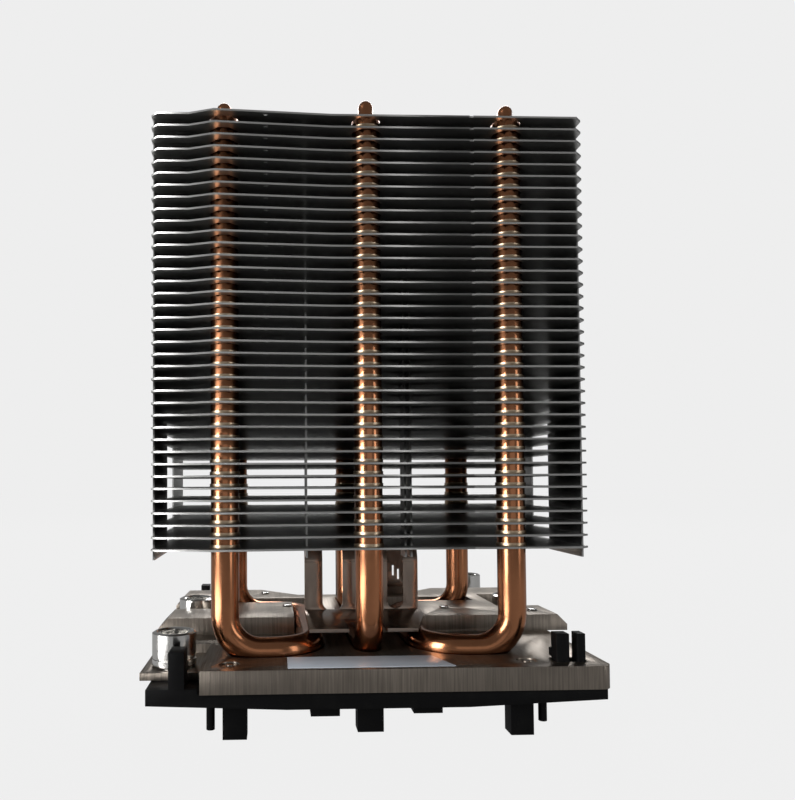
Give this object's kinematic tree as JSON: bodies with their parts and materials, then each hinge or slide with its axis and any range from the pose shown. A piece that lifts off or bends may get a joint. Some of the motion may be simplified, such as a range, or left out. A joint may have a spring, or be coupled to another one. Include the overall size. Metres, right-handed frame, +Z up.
{
  "type": "passive server cpu heatsink",
  "caption": "Tower of thin fins on U-bent heat pipes over a milled base plate, with captive nuts and a plastic processor carrier, cooled by the server's own air flow.",
  "frame": {"origin": "middle of the base plate's outline, on the surface that the carrier's feet stand on", "axes": "+X across the tower to the right, +Y from the labelled front edge of the base to its back, +Z up along the heat pipes' legs"},
  "size_m": [0.0998, 0.113, 0.134],
  "materials": {
    "plated_base": "milled and nickel plated, satin",
    "heat_pipe": "polished copper",
    "captive_nut": "bright plated",
    "retaining_ring": "plain steel",
    "bracket": "plain sheet",
    "carrier": "black moulded",
    "label": "bare pale film",
    "land_pins": "bright",
    "fins": "rolled sheet, satin"
  },
  "bodies": {
    "heatsink": {"base_plate": "plated_base", "heat_pipe_left": "heat_pipe", "heat_pipe_centre": "heat_pipe", "heat_pipe_right": "heat_pipe", "support_bracket": "bracket", "processor_carrier": "carrier", "label": "label", "land_pins": "land_pins", "fin_01": "fins", "fin_02": "fins", "fin_03": "fins", "fin_04": "fins", "fin_05": "fins", "fin_06": "fins", "fin_07": "fins", "fin_08": "fins", "fin_09": "fins", "fin_10": "fins", "fin_11": "fins", "fin_12": "fins", "fin_13": "fins", "fin_14": "fins", "fin_15": "fins", "fin_16": "fins", "fin_17": "fins", "fin_18": "fins", "fin_19": "fins", "fin_20": "fins", "fin_21": "fins", "fin_22": "fins", "fin_23": "fins", "fin_24": "fins", "fin_25": "fins", "fin_26": "fins", "fin_27": "fins", "fin_28": "fins", "fin_29": "fins", "fin_30": "fins", "fin_31": "fins", "fin_32": "fins", "fin_33": "fins", "fin_34": "fins", "fin_35": "fins", "fin_36": "fins", "fin_37": "fins"},
    "nut_front_left": {"captive_nut_front_left": "captive_nut", "retaining_ring_front_left": "retaining_ring"},
    "nut_side_left": {"captive_nut_side_left": "captive_nut", "retaining_ring_side_left": "retaining_ring"},
    "nut_side_right": {"captive_nut_side_right": "captive_nut", "retaining_ring_side_right": "retaining_ring"},
    "nut_rear_right": {"captive_nut_rear_right": "captive_nut", "retaining_ring_rear_right": "retaining_ring"}
  },
  "joints": [
    {"name": "nut_turn_front_left", "type": "hinge", "parent": "heatsink", "child": "nut_front_left", "pos_m": [-0.043, -0.044, 0.0153], "axis": [0, 0, 1], "continuous": true},
    {"name": "nut_turn_side_left", "type": "hinge", "parent": "heatsink", "child": "nut_side_left", "pos_m": [-0.043, 0, 0.0153], "axis": [0, 0, 1], "continuous": true},
    {"name": "nut_turn_side_right", "type": "hinge", "parent": "heatsink", "child": "nut_side_right", "pos_m": [0.043, 0, 0.0153], "axis": [0, 0, 1], "continuous": true},
    {"name": "nut_turn_rear_right", "type": "hinge", "parent": "heatsink", "child": "nut_rear_right", "pos_m": [0.043, 0.044, 0.0153], "axis": [0, 0, 1], "continuous": true}
  ]
}
